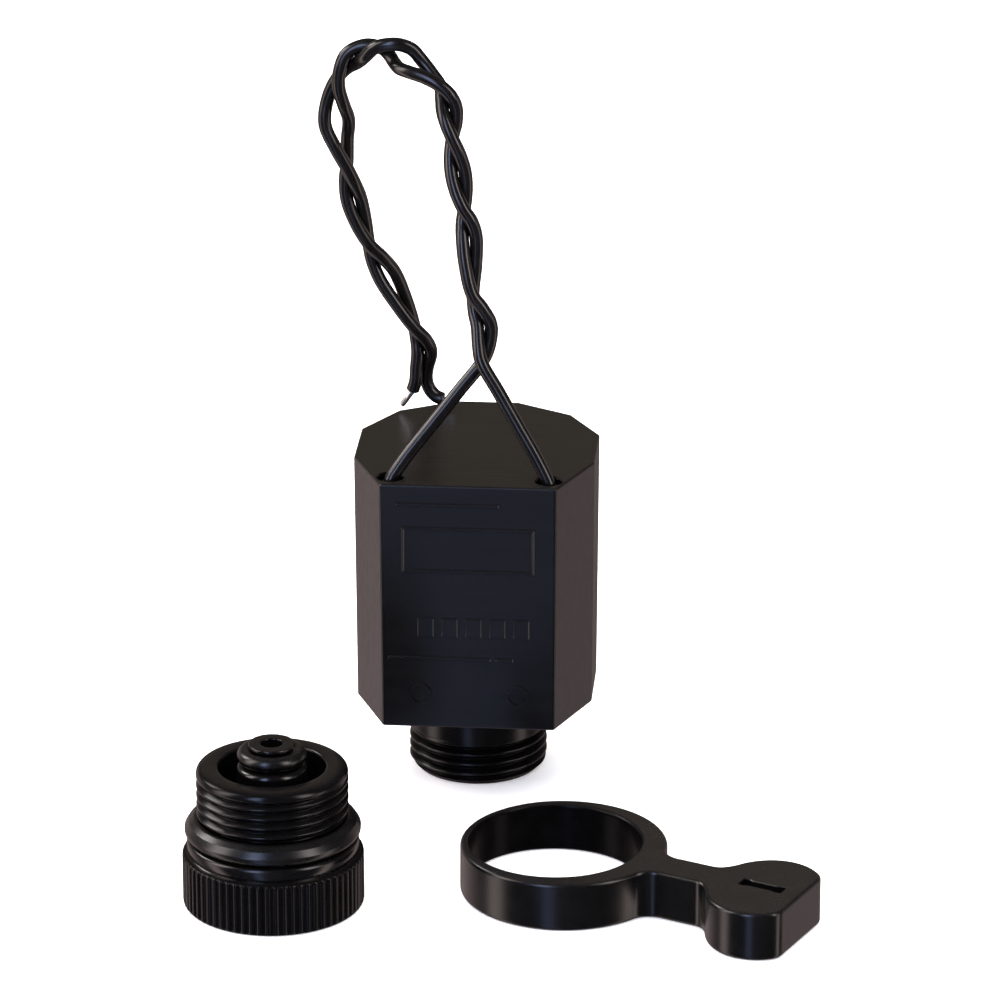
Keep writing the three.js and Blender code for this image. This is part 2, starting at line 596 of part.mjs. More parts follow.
// ---- bleed lever
function leverShape() {
  const fillet = HANDLE_FILLET
  const fx = Math.sqrt((RING_R + fillet) ** 2 - (HANDLE_HALF + fillet) ** 2)
  const fy = HANDLE_HALF + fillet
  const a = Math.atan2(fy, fx)
  const [pu, pw] = PADDLE_R
  const meet = Math.asin(PADDLE_JOIN_SINE)
  const meetAt = [PADDLE_X - pu * Math.cos(meet), pw * Math.sin(meet)]
  const corner = Math.acos((PADDLE_FLAT - PADDLE_CORNER - PADDLE_X) / pu)
  const cornerAt = [PADDLE_X + pu * Math.cos(corner), pw * Math.sin(corner)]
  const flareX = PADDLE_X - pu * PADDLE_FLARE.reach
  const flare = [flareX - PADDLE_FLARE.before, flareX + PADDLE_FLARE.after]
  const pull = PADDLE_CORNER_PULL
  const shape = new THREE.Shape()
  shape.absarc(0, 0, RING_R, a, -a, false)
  shape.absarc(fx, -fy, fillet, Math.PI - a, Math.PI / 2, true)
  shape.lineTo(flare[0], -HANDLE_HALF)
  shape.quadraticCurveTo(flare[1], -HANDLE_HALF, meetAt[0], -meetAt[1])
  shape.absellipse(PADDLE_X, 0, pu, pw, Math.PI + meet, 2 * Math.PI - corner, false, 0)
  shape.quadraticCurveTo(PADDLE_FLAT, -cornerAt[1] + pull, PADDLE_FLAT, -PADDLE_FLAT_HALF)
  shape.lineTo(PADDLE_FLAT, PADDLE_FLAT_HALF)
  shape.quadraticCurveTo(PADDLE_FLAT, cornerAt[1] - pull, cornerAt[0], cornerAt[1])
  shape.absellipse(PADDLE_X, 0, pu, pw, corner, Math.PI - meet, false, 0)
  shape.quadraticCurveTo(flare[1], HANDLE_HALF, flare[0], HANDLE_HALF)
  shape.lineTo(fx, HANDLE_HALF)
  shape.absarc(fx, fy, fillet, -Math.PI / 2, Math.PI + a, true)
  const hole = new THREE.Path()
  hole.absarc(RING_HOLE_SHIFT, 0, RING_HOLE_R, 0, Math.PI * 2, true)
  shape.holes.push(hole)
  return shape
}
const leverBody = prism(leverShape(), 0, LEVER_H, LEVER_EDGE, 20)
const { x0: markX0, x1: markX1, half: markHalf, depth: markDepth } = LEVER_MARK
const mark = box(markX0, markX1, -markHalf, markHalf, LEVER_H - markDepth, LEVER_H + 1)
const lever = cut(leverBody, mark).rotateZ(LEVER_ANGLE).translate(LEVER_AT[0], LEVER_AT[1], 0)
addNode('bleed_lever', lever, 'black_plastic')

export default root
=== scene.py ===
"""Visual model of a solenoid with twisted leads, its thread adapter and its bleed lever."""
import math

import bmesh
import bpy
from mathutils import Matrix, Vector
from mathutils.geometry import tessellate_polygon


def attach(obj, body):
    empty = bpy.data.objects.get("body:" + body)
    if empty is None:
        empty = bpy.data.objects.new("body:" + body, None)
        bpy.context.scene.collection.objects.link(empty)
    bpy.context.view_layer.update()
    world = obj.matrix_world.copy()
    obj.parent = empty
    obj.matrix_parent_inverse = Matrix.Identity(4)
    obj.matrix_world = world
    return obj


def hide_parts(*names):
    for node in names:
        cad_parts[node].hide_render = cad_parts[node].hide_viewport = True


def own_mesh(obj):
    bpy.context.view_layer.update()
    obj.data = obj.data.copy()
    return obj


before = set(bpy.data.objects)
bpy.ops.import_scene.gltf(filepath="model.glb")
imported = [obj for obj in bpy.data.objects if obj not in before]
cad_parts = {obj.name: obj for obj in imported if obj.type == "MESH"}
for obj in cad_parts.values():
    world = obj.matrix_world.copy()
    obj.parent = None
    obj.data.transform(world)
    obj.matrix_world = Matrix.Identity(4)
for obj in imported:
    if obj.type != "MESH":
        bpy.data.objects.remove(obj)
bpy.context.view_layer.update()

MM = 0.001
TAU = 2 * math.pi
SHARP, FLAT, SCREW = 35, 5, 75  # degrees over which an edge is crisp: in general, on flat pieces, on threads

# ---------------------------------------------------------------- camera
CAMERA_AT = (0.06337, -0.78253, 0.3420)
CAMERA_DOWN = 21.0  # degrees below level
CAMERA_TURN = 4.4  # degrees towards -X
camera_data = bpy.data.cameras.new("camera")
camera_data.sensor_width = 36
camera_data.lens = 210.5
camera_data.clip_start = 0.05
camera_data.clip_end = 20
camera = bpy.data.objects.new("camera", camera_data)
camera.location = CAMERA_AT
camera.rotation_euler = (math.radians(90 - CAMERA_DOWN), 0, math.radians(CAMERA_TURN))
bpy.context.scene.collection.objects.link(camera)
bpy.context.scene.camera = camera


# ---------------------------------------------------------------- meshes: millimetres in, metres out
def make_object(name, verts, faces, sharp=SHARP):
    """A mesh object from points in millimetres, smooth but for its edges over the sharp angle."""
    mesh = bpy.data.meshes.new(name)
    mesh.from_pydata([(x * MM, y * MM, z * MM) for x, y, z in verts], [], faces)
    obj = bpy.data.objects.new(name, mesh)
    bpy.context.scene.collection.objects.link(obj)
    finish_mesh(obj, sharp)
    return obj


def finish_mesh(obj, sharp=SHARP):
    """Joins doubled points, turns the faces outwards and marks the sharp edges."""
    bm = bmesh.new()
    bm.from_mesh(obj.data)
    bmesh.ops.remove_doubles(bm, verts=bm.verts, dist=1e-7)
    bmesh.ops.recalc_face_normals(bm, faces=bm.faces)
    limit = math.radians(sharp)
    for face in bm.faces:
        face.smooth = True
    for edge in bm.edges:
        edge.smooth = len(edge.link_faces) == 2 and edge.calc_face_angle(0) < limit
    bm.to_mesh(obj.data)
    bm.free()


def boolean(obj, tools, operation="DIFFERENCE", sharp=SHARP):
    """Cuts the tools from obj, or adds them to it, and deletes them."""
    for tool in tools:
        mod = obj.modifiers.new("boolean", "BOOLEAN")
        mod.operation = operation
        mod.solver = "EXACT"
        mod.object = tool
    graph = bpy.context.evaluated_depsgraph_get()
    mesh = bpy.data.meshes.new_from_object(obj.evaluated_get(graph))
    obj.modifiers.clear()
    obj.data = mesh
    for tool in tools:
        bpy.data.objects.remove(tool)
    finish_mesh(obj, sharp)
    return obj


def loft(name, rings, closed=False, sharp=SHARP):
    """A skin over rings of equal length, capped at both ends unless it closes on itself."""
    n = len(rings[0])
    verts = [p for ring in rings for p in ring]
    faces = []
    for i in range(len(rings) if closed else len(rings) - 1):
        low, high = i * n, ((i + 1) % len(rings)) * n
        for k in range(n):
            m = (k + 1) % n
            faces.append([low + k, low + m, high + m, high + k])
    if not closed:
        faces.append(list(range(n))[::-1])
        faces.append([(len(rings) - 1) * n + k for k in range(n)])
    return make_object(name, verts, faces, sharp)


def revolve(name, profile, segments=96, shape=None, at=(0, 0), sharp=SHARP):
    """A turned solid. profile is a closed loop of (r, z), or runs from axis to axis. shape(angle, r, z)
    gives the radius there."""
    on_axis = profile[0][0] < 1e-9 and profile[-1][0] < 1e-9
    verts, rings = [], []
    for r, z in profile:
        if r < 1e-9:
            rings.append([len(verts)] * segments)
            verts.append((at[0], at[1], z))
            continue
        rings.append(list(range(len(verts), len(verts) + segments)))
        for k in range(segments):
            a = TAU * k / segments
            radius = shape(a, r, z) if shape else r
            verts.append((at[0] + radius * math.cos(a), at[1] + radius * math.sin(a), z))
    faces = []
    for i in range(len(profile) - 1 if on_axis else len(profile)):
        low, high = rings[i], rings[(i + 1) % len(profile)]
        for k in range(segments):
            n = (k + 1) % segments
            quad = [low[k], low[n], high[n], high[k]]
            face = [v for j, v in enumerate(quad) if v != quad[j - 1]]
            if len(face) > 2:
                faces.append(face)
    return make_object(name, verts, faces, sharp)


def rounded(profile, radii, steps=3):
    """The profile with corners rounded. radii maps a point's index to a radius, or is one for all."""
    out = []
    for i, p in enumerate(profile):
        r = radii if isinstance(radii, (int, float)) else radii.get(i, 0)
        if r <= 0 or (p[0] < 1e-9):
            out.append(p)
            continue
        a, b, c = Vector(profile[i - 1]), Vector(profile[(i + 1) % len(profile)]), Vector(p)
        u, w = (a - c).normalized(), (b - c).normalized()
        half = max(0.05, u.angle(w) / 2)
        cut = min(r / math.tan(half), (a - c).length * 0.45, (b - c).length * 0.45)
        start, end = c + u * cut, c + w * cut
        for k in range(steps + 1):
            t = k / steps
            q = (1 - t) ** 2 * start + 2 * t * (1 - t) * c + t * t * end
            out.append((q.x, q.y))
    return out


def sleeve(name, ri, ro, z0, z1, edge=0.1, segments=96, at=(0, 0)):
    """A plain ring with eased edges."""
    return revolve(name, rounded([(ri, z0), (ro, z0), (ro, z1), (ri, z1)], edge), segments, at=at)


def rod(name, r, z0, z1, edge=0.1, segments=64, at=(0, 0)):
    """A plain round bar with eased edges."""
    return revolve(name, rounded([(0, z0), (r, z0), (r, z1), (0, z1)], edge), segments, at=at)


def torus(name, r, section, z, segments=128, sides=24, at=(0, 0)):
    """An O-ring."""
    turn = [TAU * k / sides for k in range(sides)]
    profile = [(r + section * math.cos(a), z + section * math.sin(a)) for a in turn]
    return revolve(name, profile, segments, at=at)


def rows(z0, z1, step):
    """Heights from z0 to z1, evenly spaced, about a step apart."""
    count = max(1, round((z1 - z0) / step))
    return [z0 + (z1 - z0) * k / count for k in range(count + 1)]


def thread_depth(angle, z, pitch, z0, z1, crest=0.16, fade=0.7):
    """How far a thread's surface lies below its crest there, from 0 to 1. crest is the share of the pitch
    that the crest and the root each take, and fade the height over which each end runs out."""
    phase = (z / pitch - angle / TAU) % 1
    ridge = abs(phase - 0.5) * 2
    cut = min(1, max(0, (ridge - crest) / (1 - 2 * crest)))
    ends = min(1, max(0, (z - z0) / fade)) * min(1, max(0, (z1 - z) / fade))
    return cut * ends


RIM_SCALE = 0.82  # a tube's end face against its section
RIM_STEP = 0.18  # radii over which it widens to its full section


def tube(name, points, radius, sides=16, section=None, sharp=50):
    """A closed tube along points, its ends eased. section(angle, share) scales the radius."""
    pts = [Vector(p) for p in points]
    rings, normal = [], None
    for i, p in enumerate(pts):
        share = i / (len(pts) - 1)
        tangent = (pts[min(i + 1, len(pts) - 1)] - pts[max(i - 1, 0)]).normalized()
        if normal is None:
            normal = tangent.orthogonal().normalized()
        normal = (normal - tangent * normal.dot(tangent)).normalized()
        side = tangent.cross(normal)
        stops = [(0, 1)]
        if i == 0:
            stops = [(0, RIM_SCALE), (RIM_STEP, 1)]
        elif i == len(pts) - 1:
            stops = [(-RIM_STEP, 1), (0, RIM_SCALE)]
        for shift, scale in stops:
            ring = []
            for k in range(sides):
                a = TAU * k / sides
                r = radius * scale * (section(a, share) if section else 1)
                out = normal * math.cos(a) + side * math.sin(a)
                ring.append(tuple(p + tangent * shift * radius + out * r))
            rings.append(ring)
    return loft(name, rings, sharp=sharp)


# ---------------------------------------------------------------- leads
LEAD_R = 0.97
LEAD_START = 48.5
LEAD_STRAIGHT = 0.4
LEG_FOOT = 1.0  # height over the lead's start of the leg's aiming point
LEG_STOPS = (0.16, 0.45, 0.75)  # shares of the leg between its foot and the pair
EXIT_X, EXIT_Y = 11.2, -14.8
TIP_R = 0.45
TIP_HIDDEN = 0.6  # how far a stripped end runs back into its lead
LEAD_PATH = [
    (1.3, -9.0, 65.0), (1.5, -7.5, 69.8), (-0.2, -6.5, 74.2), (-0.8, -5.0, 82.1), (-1.6, -4.0, 85.9),
    (-2.5, -3.0, 90.9), (-3.4, -2.0, 95.8), (-3.9, -1.0, 99.6), (-5.3, 0.0, 102.6), (-8.9, 1.5, 105.0),
    (-11.5, 2.5, 106.4), (-14.2, 3.5, 106.9), (-18.1, 5.0, 104.9), (-20.4, 6.0, 100.6),
    (-20.6, 7.0, 94.8), (-19.3, 8.0, 88.1), (-18.5, 9.0, 82.8), (-16.5, 10.0, 76.0), (-14.0, 11.0, 70.7),
    (-10.2, 12.0, 62.7), (-8.8, 12.5, 58.6), (-9.8, 13.0, 53.6),
]
# points of the path where one lead lies in front of the other
CROSSINGS = [0, 2, 4, 6, 8, 11, 12.6, 15, 17, 19, 21]
# how far the leads lie from the path, at points along it
TWIST_RADII = [
    (0, 0.98), (8, 0.98), (9.6, 1.6), (11, 1.0), (13, 1.0), (14.1, 1.75), (15, 1.0), (17, 0.98), (18, 1.2),
    (19, 0.98), (21, 0.98),
]
LOOK_ALONG = Vector((0, 0.93, -0.36))  # the direction that crossings are counted along
# what each lead passes through after the pair, and where its stripped end stops
LEAD_ENDS = {
    "left": ([(-8.62, 13.75, 54.0), (-8.2, 13.88, 52.45), (-7.3, 13.8, 51.4), (-6.2, 13.6, 50.95)],
             (-4.5, 13.15, 50.6)),
    "right": ([(-10.05, 12.0, 54.3), (-10.5, 12.05, 52.7)], (-12.1, 12.6, 50.3)),
}


def catmull(points, u):
    """A point of the uniform Catmull-Rom curve through points, u counted in points."""
    last = len(points) - 1
    i = min(int(u), last - 1)
    t = u - i
    a, b, d, e = [Vector(points[max(0, min(last, k))]) for k in (i - 1, i, i + 1, i + 2)]
    linear = (d - a) * t
    square = (2 * a - 5 * b + 4 * d - e) * t * t
    cube = (3 * b - a - 3 * d + e) * t * t * t
    return 0.5 * (2 * b + linear + square + cube)


def twist_phase(u):
    """How far the pair has turned at u: half a turn between one crossing and the next."""
    for k in range(len(CROSSINGS) - 1):
        start, end = CROSSINGS[k], CROSSINGS[k + 1]
        if u <= end:
            return math.pi * (k + (u - start) / (end - start))
    return math.pi * (len(CROSSINGS) - 1)


def twist_radius(u):
    """How far the strands lie from the centre-line."""
    for (start, low), (end, high) in zip(TWIST_RADII, TWIST_RADII[1:]):
        if u <= end:
            return low + (high - low) * (1 - math.cos(math.pi * (u - start) / (end - start))) / 2
    return TWIST_RADII[-1][1]


def strand_point(u, sign):
    """Where one strand of the pair lies at u along the centre-line."""
    last = len(LEAD_PATH) - 1
    ahead, behind = catmull(LEAD_PATH, min(last, u + 0.01)), catmull(LEAD_PATH, max(0, u - 0.01))
    tangent = (ahead - behind).normalized()
    back = (LOOK_ALONG - tangent * LOOK_ALONG.dot(tangent)).normalized()
    side = back.cross(tangent)
    phase = twist_phase(u)
    away = back * math.cos(phase) + side * math.sin(phase)
    return catmull(LEAD_PATH, u) + sign * twist_radius(u) * away


def strand_points(x, y, sign, through):
    """The points that one lead passes through, from its exit to its stripped end."""
    points = [Vector((x, y, LEAD_START)), Vector((x, y, LEAD_START + LEAD_STRAIGHT))]
    apex = strand_point(0, sign)
    foot = Vector((x, y, LEAD_START + LEG_FOOT))
    points += [foot.lerp(apex, t) for t in LEG_STOPS]
    points += [strand_point(k / 2, sign) for k in range(2 * len(LEAD_PATH) - 2)]
    return points + [Vector(p) for p in through]


def centripetal(points, per_span):
    """Points along the centripetal Catmull-Rom curve through points."""
    pts = [2 * points[0] - points[1], *points, 2 * points[-1] - points[-2]]
    out = []
    for i in range(1, len(pts) - 2):
        p0, p1, p2, p3 = pts[i - 1 : i + 3]
        d0, d1, d2 = [max(1e-4, (b - a).length ** 0.5) for a, b in ((p0, p1), (p1, p2), (p2, p3))]
        t1 = ((p1 - p0) / d0 - (p2 - p0) / (d0 + d1) + (p2 - p1) / d1) * d1
        t2 = ((p2 - p1) / d1 - (p3 - p1) / (d1 + d2) + (p3 - p2) / d2) * d1
        for k in range(per_span):
            t = k / per_span
            a, b = 2 * t**3 - 3 * t**2 + 1, t**3 - 2 * t**2 + t
            c, d = -2 * t**3 + 3 * t**2, t**3 - t**2
            out.append(p1 * a + t1 * b + p2 * c + t2 * d)
    return out + [points[-1]]


def strands(angle, share):
    """The section of a stripped end: six bare strands, twisted."""
    return 0.86 + 0.14 * abs(math.cos(3 * angle + 5 * share))


leads = []
for side, x, sign in (("left", -EXIT_X, 1), ("right", EXIT_X, -1)):
    through, tip_at = LEAD_ENDS[side]
    route = centripetal(strand_points(x, EXIT_Y, sign, through), 6)
    lead = tube(f"lead_{side}", route, LEAD_R, sides=24)
    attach(lead, "solenoid")
    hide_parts(f"lead_wire_{side}")
    along = (Vector(tip_at) - route[-1]).normalized()
    bare = [route[-1] - along * TIP_HIDDEN, *[route[-1].lerp(Vector(tip_at), k / 12) for k in range(13)]]
    tip = tube(f"stripped_end_{side}", bare, TIP_R, 48, strands)
    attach(tip, "solenoid")
    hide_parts(f"lead_tip_{side}")
    leads.append((lead, tip))


# ---------------------------------------------------------------- materials
def add(tree, kind, inputs=(), **settings):
    """A node with its settings and inputs. An input that is a socket is linked."""
    node = tree.nodes.new(kind)
    for key, value in settings.items():
        setattr(node, key, value)
    for key, value in dict(inputs).items():
        if isinstance(value, bpy.types.NodeSocket):
            tree.links.new(value, node.inputs[key])
        else:
            node.inputs[key].default_value = value
    return node


def noise(tree, scale, detail=3, stretch=(1, 1, 1), roughness=0.55):
    """Noise over the object's own coordinates, scale in features per millimetre."""
    coord = add(tree, "ShaderNodeTexCoord").outputs["Object"]
    mapping = add(tree, "ShaderNodeMapping", {"Vector": coord, "Scale": [s / MM for s in stretch]})
    place = mapping.outputs["Vector"]
    settings = {"Vector": place, "Scale": scale, "Detail": detail, "Roughness": roughness}
    return add(tree, "ShaderNodeTexNoise", settings).outputs["Fac"]


def ranged(tree, value, low, high, start=0.3, end=0.7):
    """The value carried from start..end to low..high, and held there."""
    settings = {"Value": value, "From Min": start, "From Max": end, "To Min": low, "To Max": high}
    return add(tree, "ShaderNodeMapRange", settings).outputs["Result"]


def maths(tree, operation, a, b=0.0):
    """One operation on two values."""
    return add(tree, "ShaderNodeMath", {0: a, 1: b}, operation=operation).outputs[0]


def mixed(tree, share, a, b):
    """Two colours mixed by a share."""
    node = add(tree, "ShaderNodeMix", data_type="RGBA")
    sockets = [s for s in node.inputs if s.type == "RGBA"]
    for socket, value in ((node.inputs["Factor"], share), (sockets[0], a), (sockets[1], b)):
        if isinstance(value, bpy.types.NodeSocket):
            tree.links.new(value, socket)
        else:
            socket.default_value = (*value, 1) if isinstance(value, tuple) else value
    return [s for s in node.outputs if s.type == "RGBA"][0]


def shaded(colour, factor):
    """The colour, brighter or darker by a factor."""
    return tuple(c * factor for c in colour)


CLOUD_SCALE = 0.35  # features per millimetre of the clouds in colour and gloss
SPECK_SCALE = 5.0  # the same for dust
STREAK_LIGHT = 1.7  # a streak's colour against the piece's own
STREAK_GLOSS = 0.07
DUST_GLOSS = 0.25
BUMP_STRENGTH = 0.6


def surface(name, colour, rough, grain=4.0, bump=0.01, spread=0.02, streaks=None, dust=0.0, mottle=0.25,
            dust_colour=(0.075, 0.062, 0.052), hollow_shade=None, **shader):
    """A material with cloudy colour, uneven gloss and fine grain, and dust where asked.
    streaks is (stretch, depth) of the long marks that moulding, turning or drawing leaves.
    The painted shade in hollows is given as (axis x, axis y, [(radius, shine)]): the specular level is set
    by the distance from that axis, so that a part's grooves reflect less than what stands out and look
    shaded."""
    material = bpy.data.materials.new(name)
    material.use_nodes = True
    tree = material.node_tree
    bsdf = tree.nodes["Principled BSDF"]
    clouds = noise(tree, CLOUD_SCALE, 2)
    base = mixed(tree, ranged(tree, clouds, 0, 1), shaded(colour, 1 - mottle), shaded(colour, 1 + mottle))
    gloss = ranged(tree, clouds, rough - spread, rough + spread)
    height = noise(tree, grain, 4)
    if streaks:
        stretch, depth = streaks
        marks = noise(tree, 1.0, 3, stretch)
        height = maths(tree, "ADD", height, maths(tree, "MULTIPLY", marks, depth))
        base = mixed(tree, ranged(tree, marks, 0, 0.5, 0.45, 0.75), base, shaded(colour, STREAK_LIGHT))
        gloss = maths(tree, "ADD", gloss, ranged(tree, marks, 0, STREAK_GLOSS, 0.45, 0.75))
    if dust:
        normal = add(tree, "ShaderNodeNewGeometry").outputs["Normal"]
        up = add(tree, "ShaderNodeSeparateXYZ", {0: normal}).outputs[2]
        specks = ranged(tree, noise(tree, SPECK_SCALE, 2), 0.55, 1.0, 0.35, 0.7)
        lies = maths(tree, "MULTIPLY", ranged(tree, up, 0, dust, 0.55, 0.98), specks)
        base = mixed(tree, lies, base, dust_colour)
        gloss = maths(tree, "ADD", gloss, maths(tree, "MULTIPLY", lies, DUST_GLOSS))
    tree.links.new(base, bsdf.inputs["Base Color"])
    tree.links.new(gloss, bsdf.inputs["Roughness"])
    bumps = add(tree, "ShaderNodeBump", {"Strength": BUMP_STRENGTH, "Distance": bump * MM, "Height": height})
    tree.links.new(bumps.outputs["Normal"], bsdf.inputs["Normal"])
    # painted shade: the specular level is set by the distance from the part's axis, low at the radii of its
    # grooves and bores, so that they look shaded
    if hollow_shade:
        x, y, stops = hollow_shade
        place = add(tree, "ShaderNodeTexCoord").outputs["Object"]
        shift = {"Vector": place, "Location": (-x * MM, -y * MM, 0), "Scale": (1, 1, 0)}
        flat = add(tree, "ShaderNodeMapping", shift).outputs["Vector"]
        reach = add(tree, "ShaderNodeVectorMath", {0: flat}, operation="LENGTH").outputs["Value"]
        share = maths(tree, "MULTIPLY", reach, 1 / (HOLLOW_SHADE_REACH * MM))
        shines = add(tree, "ShaderNodeValToRGB", {"Fac": share})
        elements = shines.color_ramp.elements
        elements[0].color = (stops[0][1],) * 3 + (1,)
        elements[1].color = (stops[-1][1],) * 3 + (1,)
        for radius, shine in stops:
            elements.new(radius / HOLLOW_SHADE_REACH).color = (shine, shine, shine, 1)
        tree.links.new(shines.outputs["Color"], bsdf.inputs["Specular IOR Level"])
    for key, value in shader.items():
        bsdf.inputs[key.replace("_", " ")].default_value = value
    return material


# where the loose pieces stand
ADAPTER_AT = (-24.4, -50.3)
LEVER_AT = (15.4, -43.6)
LEVER_ANGLE = math.radians(-24)
HOLE_SHIFT = -1.4  # from the lever ring's centre to its hole's, along the lever
HOLE_AT = (LEVER_AT[0] + HOLE_SHIFT * math.cos(LEVER_ANGLE),
           LEVER_AT[1] + HOLE_SHIFT * math.sin(LEVER_ANGLE))

BLACK = (0.0018, 0.0017, 0.0019)
HOLLOW_SHADE_REACH = 20.0  # the radius up to which the painted shade in a part's hollows is told
# painted shade: (axis x, axis y, [(radius, specular level)]) for each part, low at the thread roots, in the
# adapter's well and on the lever's bore so that they look shaded
NECK_HOLLOW_SHADE = (0, 0, [(9.3, 0.04), (9.7, 0.1), (9.93, 0.3)])
ADAPTER_HOLLOW_SHADE = (*ADAPTER_AT, [
    (2.4, 0.3), (3.0, 0.5), (4.9, 0.5), (5.2, 0.05), (7.35, 0.05), (7.5, 0.3), (9.7, 0.3), (9.85, 0.05),
    (10.15, 0.1), (10.42, 0.28), (11.9, 0.46), (12.15, 0.08), (12.3, 0.08), (12.5, 0.22)])
LEVER_HOLLOW_SHADE = (*HOLE_AT, [(12.0, 0.02), (12.1, 0.06), (12.5, 0.45)])
LOOKS = {
    "housing_plastic": surface("housing_plastic", BLACK, 0.28, grain=2.0, bump=0.003, spread=0.005,
                               mottle=0.1, streaks=((0.05, 1.3, 0.5), 0.5), dust=0.09,
                               dust_colour=(0.05, 0.04, 0.025)),
    "former_plastic": surface("former_plastic", BLACK, 0.24, bump=0.004, hollow_shade=NECK_HOLLOW_SHADE),
    "adapter_plastic": surface("adapter_plastic", BLACK, 0.2, bump=0.004, dust=0.04,
                               hollow_shade=ADAPTER_HOLLOW_SHADE),
    "lever_plastic": surface("lever_plastic", BLACK, 0.24, bump=0.012, dust=0.105, hollow_shade=LEVER_HOLLOW_SHADE),
    "seal_rubber": surface("seal_rubber", (0.0024, 0.0023, 0.0023), 0.27, grain=7.0, bump=0.004,
                           dust=0.03),
    "lead_pvc": surface("lead_pvc", (0.0035, 0.0030, 0.0031), 0.19, grain=2.0, bump=0.01,
                        streaks=((0.6, 0.6, 0.12), 0.5)),
    "copper": surface("copper", (0.62, 0.26, 0.12), 0.28, bump=0.006, Metallic=1.0),
    "coil_tape": surface("coil_tape", (0.62, 0.44, 0.08), 0.45, grain=1.5, bump=0.01, Coat_Weight=0.3),
    "tinned_brass": surface("tinned_brass", (0.72, 0.7, 0.66), 0.26, streaks=((6, 6, 0.4), 0.5),
                            Metallic=1.0),
    "tinned_copper": surface("tinned_copper", (0.82, 0.8, 0.77), 0.3, grain=6.0, bump=0.02,
                             Metallic=1.0),
    "plated_steel": surface("plated_steel", (0.58, 0.6, 0.62), 0.36, grain=2.0, streaks=((0.1, 3, 3), 0.6),
                            Metallic=1.0),
    "stainless_steel": surface("stainless_steel", (0.62, 0.61, 0.6), 0.24, streaks=((0.3, 0.3, 8), 0.6),
                               Metallic=1.0),
}


def piece(obj, body, slot, *nodes):
    """Gives a new piece its body, its finish and the CAD nodes that it stands for."""
    if nodes:
        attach(obj, body)
        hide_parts(*nodes)
    obj.data.materials.clear()
    obj.data.materials.append(LOOKS[slot])
    even = obj.modifiers.new("even shading", "WEIGHTED_NORMAL")
    even.keep_sharp = True
    return obj


for lead, tip in leads:
    piece(lead, "solenoid", "lead_pvc")
    piece(tip, "solenoid", "tinned_copper")


# ---------------------------------------------------------------- housing
HOUSING_Z = (12.5, 49.5)
APOTHEM = 17.2
FRONT_Y = -18.0
FRONT_HALF = 12.45
SIDE_FRONT_Y = -6.8
WALL = 2.0
TOP_WALL = 2.4
DRAFT = 0.0004  # share that the housing narrows by, for each millimetre down
CORNER_SHIFT = (0.65, 0.15)  # how far the front corners move in and the side ones back, per inset
EDGE = 0.35
CORNER = 0.5
EXIT_R = 1.9
EXIT_MOUTH = 0.5  # how much wider the lead holes are at the top
RELIEF = 0.25  # height of the marks on the front
RELIEF_LIP = 0.13
RELIEF_ROOT = 0.6  # how deep the marks reach into the wall


def housing_outline(inset):
    """The housing's outline in plan, anticlockwise from the front right corner."""
    r = APOTHEM / math.cos(math.pi / 12) * (APOTHEM - inset) / APOTHEM
    back = [(r * math.cos(math.radians(d)), r * math.sin(math.radians(d))) for d in range(15, 166, 30)]
    side, half = APOTHEM - inset, FRONT_HALF - inset * CORNER_SHIFT[0]
    front, shoulder = FRONT_Y + inset, SIDE_FRONT_Y + inset * CORNER_SHIFT[1]
    return [(half, front), (side, shoulder), *back, (-side, shoulder), (-half, front)]


def soft_ring(points, radius, inset, z, scale=1.0, steps=8):
    """A convex outline with rounded corners, moved in by inset, at one height."""
    ring = []
    for i, p in enumerate(points):
        a, b, c = Vector(points[i - 1]), Vector(p), Vector(points[(i + 1) % len(points)])
        e1, e2 = (b - a).normalized(), (c - b).normalized()
        n1, n2 = Vector((e1.y, -e1.x)), Vector((e2.y, -e2.x))
        centre = b - (n1 + n2) * radius / (1 + n1.dot(n2))
        for k in range(steps + 1):
            n = n1.lerp(n2, k / steps).normalized()
            q = (centre + n * (radius - inset)) * scale
            ring.append((q.x, q.y, z))
    return ring


def eased(z0, z1, edge, steps=8):
    """Heights and insets that round a prism's bottom and top edges."""
    turn = [math.radians(90 * k / steps) for k in range(steps + 1)]
    low = [(z0 + edge * (1 - math.cos(t)), edge * (1 - math.sin(t))) for t in turn]
    return low + [(z1 - (z - z0), inset) for z, inset in reversed(low)]


def soft_prism(name, points, z0, z1, edge, corner, draft=0.0):
    """A prism on a convex outline with rounded corners and edges, narrowing downwards by its draft."""
    rings = [soft_ring(points, corner, inset, z, 1 - draft * (z1 - z)) for z, inset in eased(z0, z1, edge)]
    return loft(name, rings, sharp=FLAT)


def relief(name, x0, x1, z0, z1, height):
    """A raised bar on the front flat, as a block to be joined to the housing."""
    face = FRONT_Y * (1 - DRAFT * (HOUSING_Z[1] - (z0 + z1) / 2))
    steps = ((face + RELIEF_ROOT, 0), (face - height + RELIEF_LIP, 0), (face - height, RELIEF_LIP))
    rings = []
    for y, s in steps:
        corners = ((x0 + s, z0 + s), (x1 - s, z0 + s), (x1 - s, z1 - s), (x0 + s, z1 - s))
        rings.append([(x, y, z) for x, z in corners])
    return loft(name, rings)


def relief_ring(name, x, z, r, width, height):
    """A raised circle on the front flat."""
    face = FRONT_Y * (1 - DRAFT * (HOUSING_Z[1] - z))
    section = [(r, -RELIEF_ROOT), (r, height), (r + width, height), (r + width, -RELIEF_ROOT)]
    rings = []
    for k in range(40):
        a = TAU * k / 40
        rings.append([(x + q * math.cos(a), face - h, z + q * math.sin(a)) for q, h in section])
    return loft(name, rings, closed=True)


housing = soft_prism("solenoid_housing", housing_outline(0), *HOUSING_Z, EDGE, CORNER, DRAFT)
